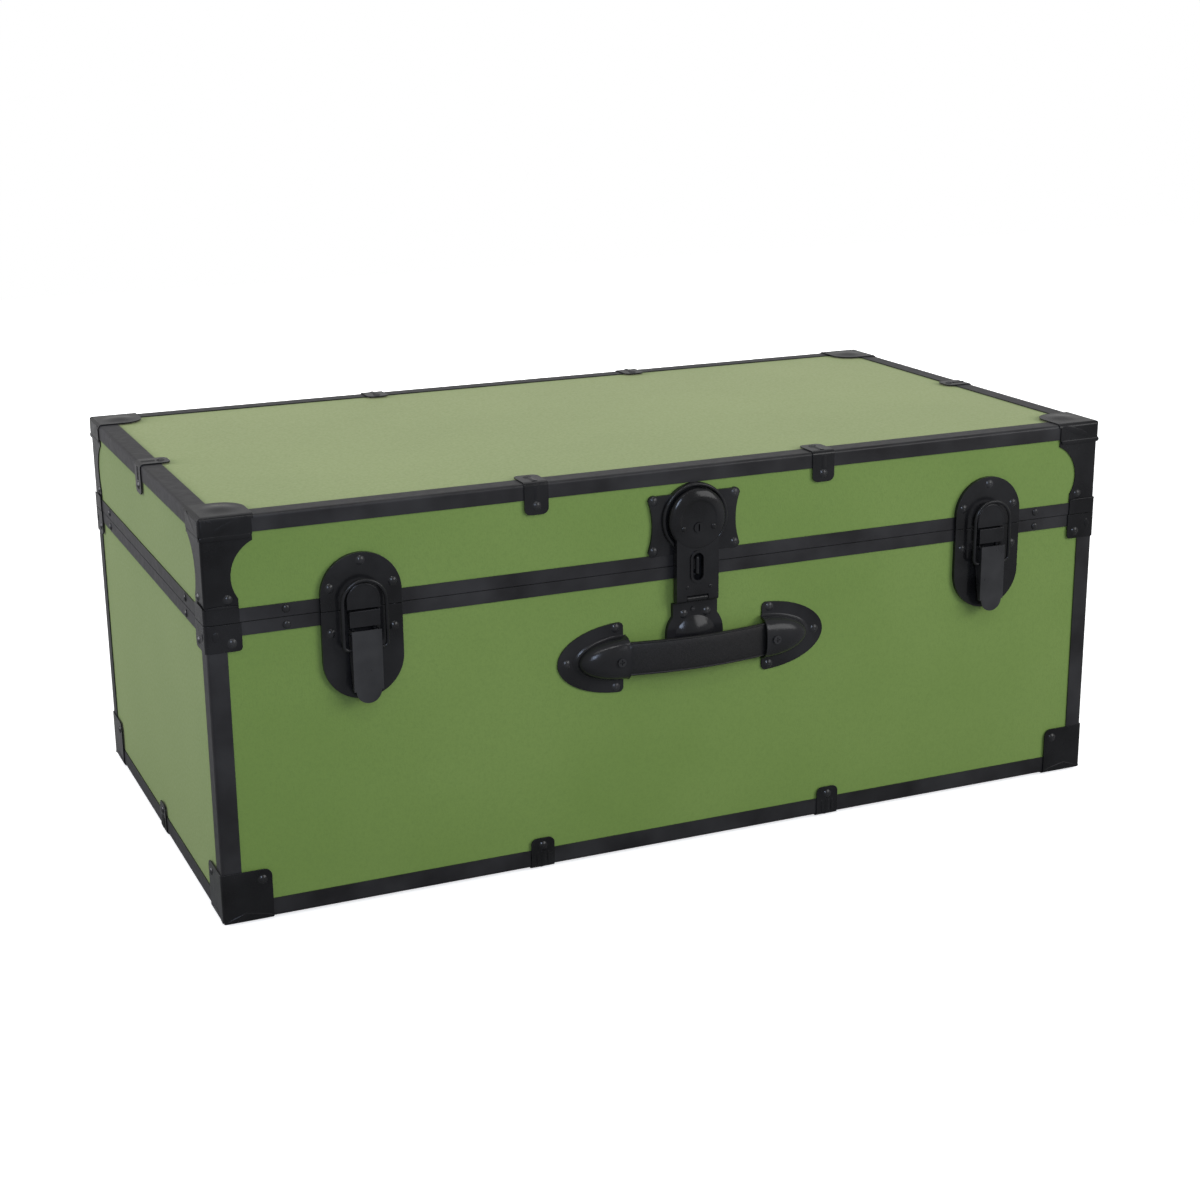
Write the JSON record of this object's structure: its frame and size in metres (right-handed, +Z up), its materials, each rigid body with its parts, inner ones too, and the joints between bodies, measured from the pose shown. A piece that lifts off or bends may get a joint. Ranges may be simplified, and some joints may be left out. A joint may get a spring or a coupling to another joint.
{
  "type": "storage trunk",
  "caption": "Covered-board storage trunk with black steel bindings and corners, lever latches, a hasp lock, a strap handle and a hinged lid.",
  "frame": {"origin": "middle of the overall footprint, on the floor under the feet", "axes": "+X along the long front to the viewer's right, +Y from the front to the back, +Z up"},
  "size_m": [0.7646, 0.4208, 0.3123],
  "materials": {
    "covered_board": "hardboard covered in green grained vinyl, matte",
    "lining_paper": "plain matte",
    "trim_steel": "black enamel, satin",
    "fitting_steel": "black enamel, semi-gloss",
    "strap_leather": "black grained leather"
  },
  "bodies": {
    "base": {"base_front_panel": "covered_board", "base_back_panel": "covered_board", "base_left_panel": "covered_board", "base_right_panel": "covered_board", "base_bottom_panel": "covered_board", "base_lining": "lining_paper", "base_rim_binding": "trim_steel", "base_bottom_binding": "trim_steel", "upright_bindings": "trim_steel", "base_guide_strips": "trim_steel", "rim_front_left_corner": "trim_steel", "rim_front_right_corner": "trim_steel", "rim_back_left_corner": "trim_steel", "rim_back_right_corner": "trim_steel", "foot_front_left_corner": "trim_steel", "foot_front_right_corner": "trim_steel", "foot_back_left_corner": "trim_steel", "foot_back_right_corner": "trim_steel", "base_edge_clamps": "trim_steel", "base_rivets": "fitting_steel", "left_latch_base_plate": "fitting_steel", "left_latch_bracket": "fitting_steel", "right_latch_base_plate": "fitting_steel", "right_latch_bracket": "fitting_steel", "latch_pins": "fitting_steel", "padlock_staple": "fitting_steel", "hasp_base_plate": "fitting_steel", "hasp_pin": "fitting_steel", "left_handle_cap": "fitting_steel", "right_handle_cap": "fitting_steel", "handle_strap": "strap_leather", "handle_screws": "fitting_steel", "base_hinge_leaves": "fitting_steel", "hinge_pins": "fitting_steel"},
    "lid": {"lid_top_panel": "covered_board", "lid_front_panel": "covered_board", "lid_back_panel": "covered_board", "lid_left_panel": "covered_board", "lid_right_panel": "covered_board", "lid_lining": "lining_paper", "lid_top_binding": "trim_steel", "lid_rim_binding": "trim_steel", "lid_front_left_corner": "trim_steel", "lid_front_right_corner": "trim_steel", "lid_back_left_corner": "trim_steel", "lid_back_right_corner": "trim_steel", "lid_edge_clamps": "trim_steel", "lid_rivets": "fitting_steel", "left_latch_lid_plate": "fitting_steel", "left_latch_keeper": "fitting_steel", "right_latch_lid_plate": "fitting_steel", "right_latch_keeper": "fitting_steel", "lock_plate": "fitting_steel", "lid_hinge_leaves": "fitting_steel"},
    "hasp": {"hasp": "fitting_steel"},
    "lock_plug": {"lock_plug": "fitting_steel"},
    "left_lever": {"left_latch_lever": "fitting_steel"},
    "right_lever": {"right_latch_lever": "fitting_steel"},
    "left_bail": {"left_latch_bail": "fitting_steel"},
    "right_bail": {"right_latch_bail": "fitting_steel"}
  },
  "joints": [
    {"name": "lid_hinge", "type": "hinge", "parent": "base", "child": "lid", "pos_m": [0, 0.2076, 0.2325], "axis": [-1, 0, 0], "range_deg": [0, 100]},
    {"name": "hasp_hinge", "type": "hinge", "parent": "base", "child": "hasp", "pos_m": [0.0035, -0.1992, 0.206], "axis": [1, 0, 0], "range_deg": [0, 140]},
    {"name": "key_plug_turn", "type": "hinge", "parent": "hasp", "child": "lock_plug", "pos_m": [0.0035, -0.2024, 0.2633], "axis": [0, -1, 0], "range_deg": [0, 90]},
    {"name": "left_lever_hinge", "type": "hinge", "parent": "base", "child": "left_lever", "pos_m": [-0.2655, -0.2032, 0.2155], "axis": [-1, 0, 0], "range_deg": [0, 110]},
    {"name": "left_bail_hinge", "type": "hinge", "parent": "left_lever", "child": "left_bail", "pos_m": [-0.2655, -0.20365, 0.20335], "axis": [-1, 0, 0], "range_deg": [-110, 0]},
    {"name": "right_lever_hinge", "type": "hinge", "parent": "base", "child": "right_lever", "pos_m": [0.2725, -0.2032, 0.2155], "axis": [-1, 0, 0], "range_deg": [0, 110]},
    {"name": "right_bail_hinge", "type": "hinge", "parent": "right_lever", "child": "right_bail", "pos_m": [0.2725, -0.20365, 0.20335], "axis": [-1, 0, 0], "range_deg": [-110, 0]}
  ],
  "couplings": [
    {"joint": "left_bail_hinge", "follows": "left_lever_hinge", "ratio": -1},
    {"joint": "right_bail_hinge", "follows": "right_lever_hinge", "ratio": -1}
  ]
}
